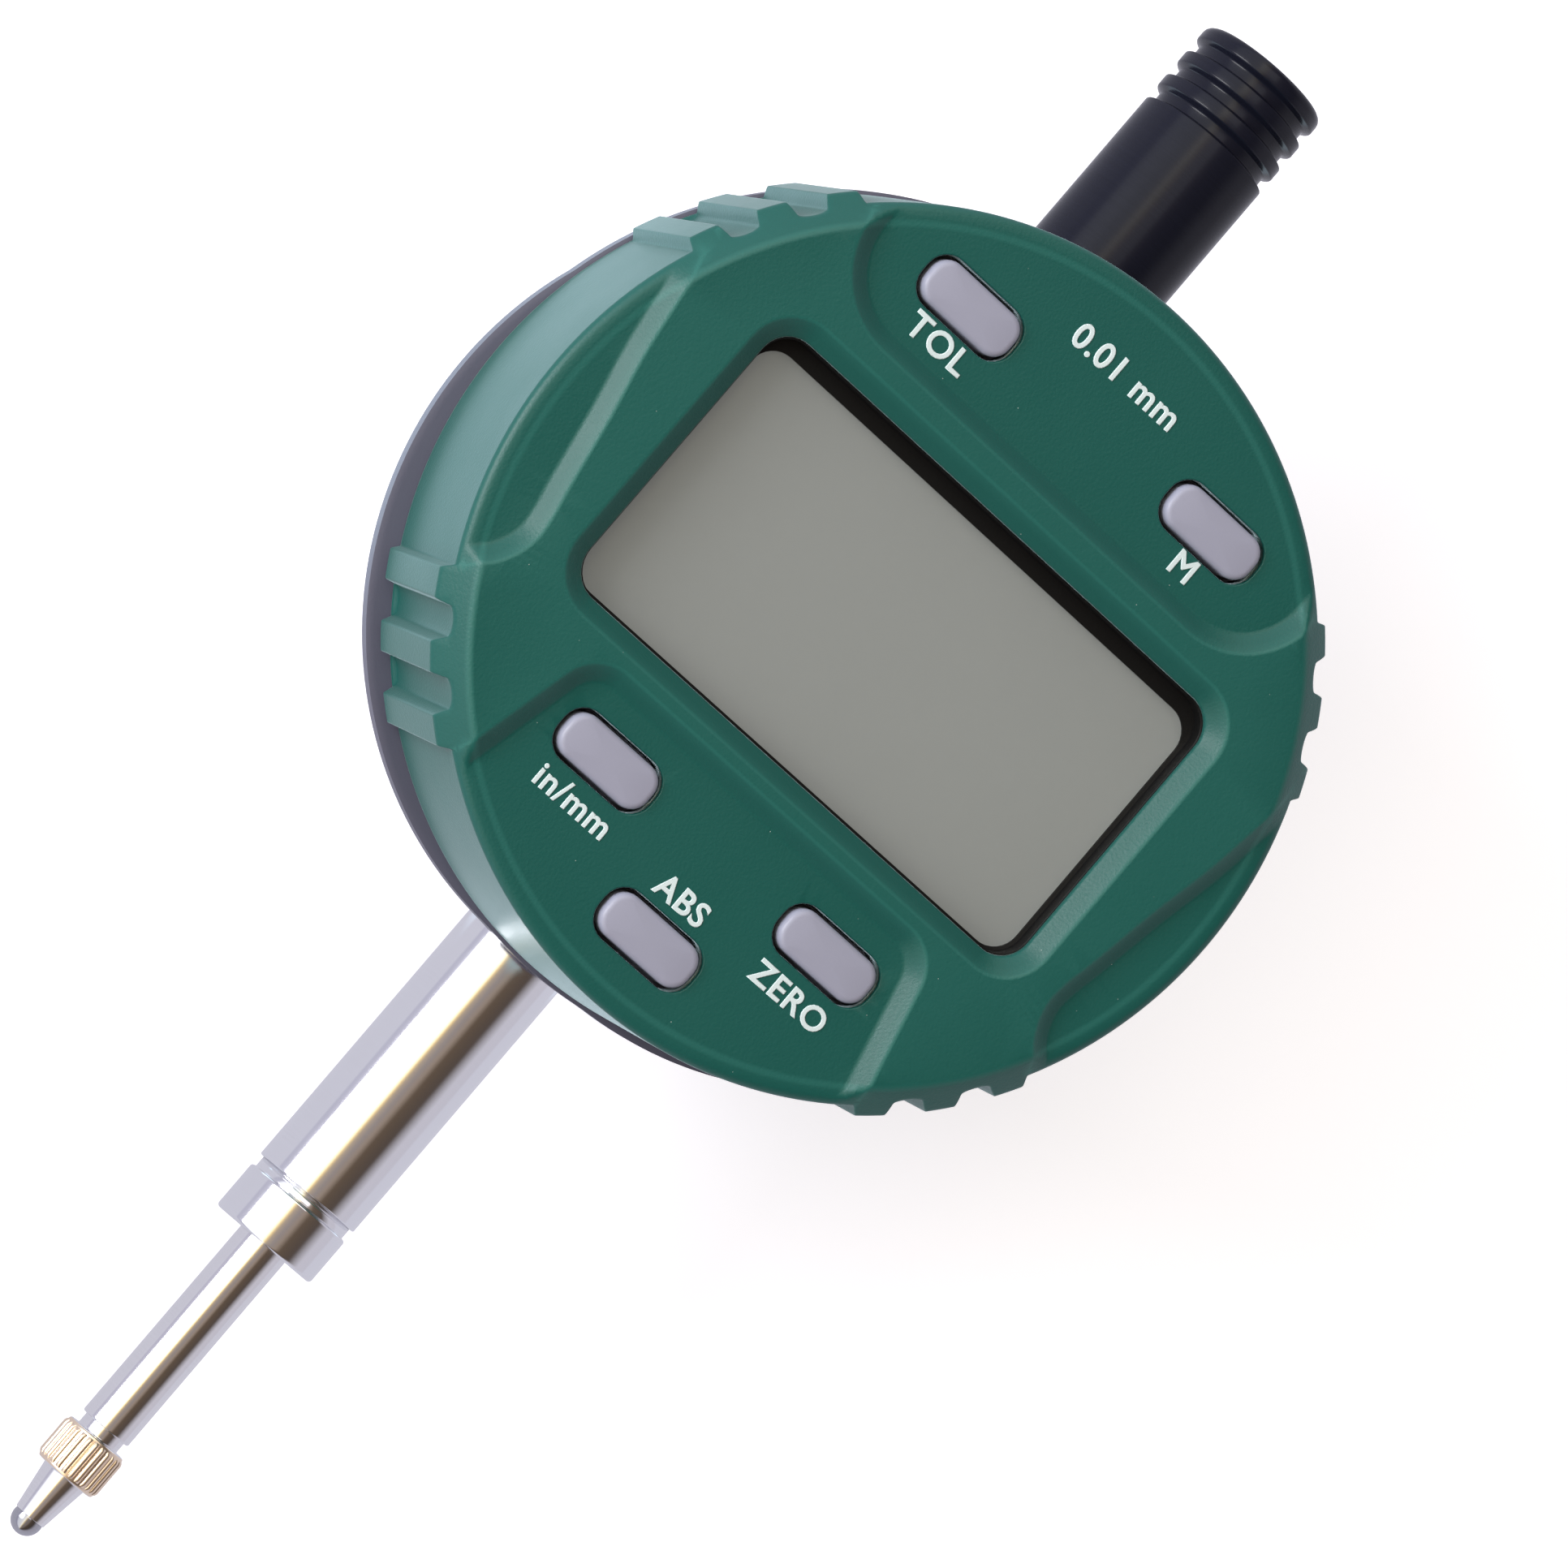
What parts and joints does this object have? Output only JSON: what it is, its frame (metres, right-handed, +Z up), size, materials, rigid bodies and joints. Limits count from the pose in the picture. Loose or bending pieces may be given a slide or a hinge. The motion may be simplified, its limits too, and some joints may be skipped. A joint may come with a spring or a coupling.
{
  "type": "electronic plunger indicator",
  "caption": "Round electronic plunger indicator with a display, push buttons, a clamping stem, a sprung plunger with a ball contact, a dust cap and a rear lug.",
  "frame": {"origin": "on the plunger's axis at the lower end of the clamping stem", "axes": "+Z up along the plunger's axis towards the dust cap, the face looks along -Y, +X is to the right of the face as it is read"},
  "size_m": [0.0596, 0.0498, 0.1272],
  "materials": {
    "green_plastic": "fine satin moulded plastic, dark teal green",
    "grey_plastic": "satin moulded plastic, pale lilac grey",
    "grey_metal": "painted die casting, pale lilac grey",
    "button_plastic": "smooth moulded plastic, pale lilac grey",
    "black_plastic": "matt black moulded plastic",
    "black_anodised": "satin black anodised, turned",
    "chromed_steel": "ground and chromed",
    "polished_steel": "ground and polished",
    "carbide": "polished hard metal",
    "zinc_screw": "zinc plated",
    "black_steel": "blackened steel",
    "spring_steel": "drawn spring wire",
    "bronze": "turned bronze",
    "gold_contact": "gold plated strip",
    "black_rubber": "matt rubber",
    "strip_rubber": "striped conductive rubber",
    "battery_steel": "stamped nickel plated steel",
    "board_green": "circuit board with solder mask",
    "chip_black": "moulded epoxy with tinned legs",
    "ceramic_tan": "ceramic chip parts",
    "display_grey": "blank liquid crystal display with a matt polariser",
    "clear_lens": "clear window with a matt coat",
    "scale_glass": "glass fibre scale with copper pads",
    "carrier_aluminium": "milled aluminium",
    "ribbon_amber": "flexible printed ribbon"
  },
  "bodies": {
    "case": {"front_housing": "green_plastic", "rear_body": "grey_plastic", "housing_screws": "zinc_screw", "back_cover": "grey_plastic", "back_seal": "black_rubber", "back_cover_screws": "zinc_screw", "lug_back": "grey_metal", "lug_screws": "zinc_screw", "battery": "battery_steel", "battery_holder": "black_plastic", "battery_contact_positive": "gold_contact", "battery_contact_negative": "gold_contact", "window_lens": "clear_lens", "display_frame": "black_plastic", "display_glass": "display_grey", "zebra_strips": "strip_rubber", "main_board": "board_green", "controller_chip": "chip_black", "clock_crystal": "battery_steel", "board_capacitors": "ceramic_tan", "dome_switches": "battery_steel", "board_screws": "zinc_screw", "stem": "chromed_steel", "stem_nose": "chromed_steel", "wiper_seal": "black_rubber", "nose_bush": "bronze", "lower_bush": "bronze", "upper_bush": "bronze", "cap_nipple": "bronze", "reader_board": "board_green", "reader_screws": "zinc_screw", "ribbon_cable": "ribbon_amber", "guide_rail": "polished_steel", "return_spring": "spring_steel", "bumper_ring": "black_rubber"},
    "plunger_slider": {"plunger": "polished_steel", "contact_point": "polished_steel", "contact_ball": "carbide", "scale_carrier": "carrier_aluminium", "carrier_screw": "black_steel", "encoder_scale": "scale_glass", "spring_washer": "zinc_screw"},
    "key_tol": {"button_tol": "button_plastic"},
    "key_m": {"button_m": "button_plastic"},
    "key_in_mm": {"button_in_mm": "button_plastic"},
    "key_zero": {"button_zero": "button_plastic"},
    "key_abs": {"button_abs": "button_plastic"},
    "cap": {"dust_cap": "black_anodised"},
    "hatch": {"battery_cover": "grey_plastic", "battery_cover_seal": "black_rubber"}
  },
  "joints": [
    {"name": "plunger_slide", "type": "slide", "parent": "case", "child": "plunger_slider", "axis": [0, 0, 1], "range_m": [0, 0.0127], "stiffness_N_per_m": 30, "springref_m": -0.03, "deforming": ["return_spring"]},
    {"name": "press_tol", "type": "slide", "parent": "case", "child": "key_tol", "axis": [0, 1, 0], "range_m": [0, 0.0005], "stiffness_N_per_m": 1500, "springref_m": -0.0003},
    {"name": "press_m", "type": "slide", "parent": "case", "child": "key_m", "axis": [0, 1, 0], "range_m": [0, 0.0005], "stiffness_N_per_m": 1500, "springref_m": -0.0003},
    {"name": "press_in_mm", "type": "slide", "parent": "case", "child": "key_in_mm", "axis": [0, 1, 0], "range_m": [0, 0.0005], "stiffness_N_per_m": 1500, "springref_m": -0.0003},
    {"name": "press_zero", "type": "slide", "parent": "case", "child": "key_zero", "axis": [0, 1, 0], "range_m": [0, 0.0005], "stiffness_N_per_m": 1500, "springref_m": -0.0003},
    {"name": "press_abs", "type": "slide", "parent": "case", "child": "key_abs", "axis": [0, 1, 0], "range_m": [0, 0.0005], "stiffness_N_per_m": 1500, "springref_m": -0.0003},
    {"name": "cap_lift", "type": "slide", "parent": "case", "child": "cap", "axis": [0, 0, 1], "range_m": [0, 0.012]},
    {"name": "hatch_turn", "type": "hinge", "parent": "case", "child": "hatch", "pos_m": [0, 0.01, 0.0416], "axis": [0, 1, 0], "range_deg": [0, 60]}
  ]
}
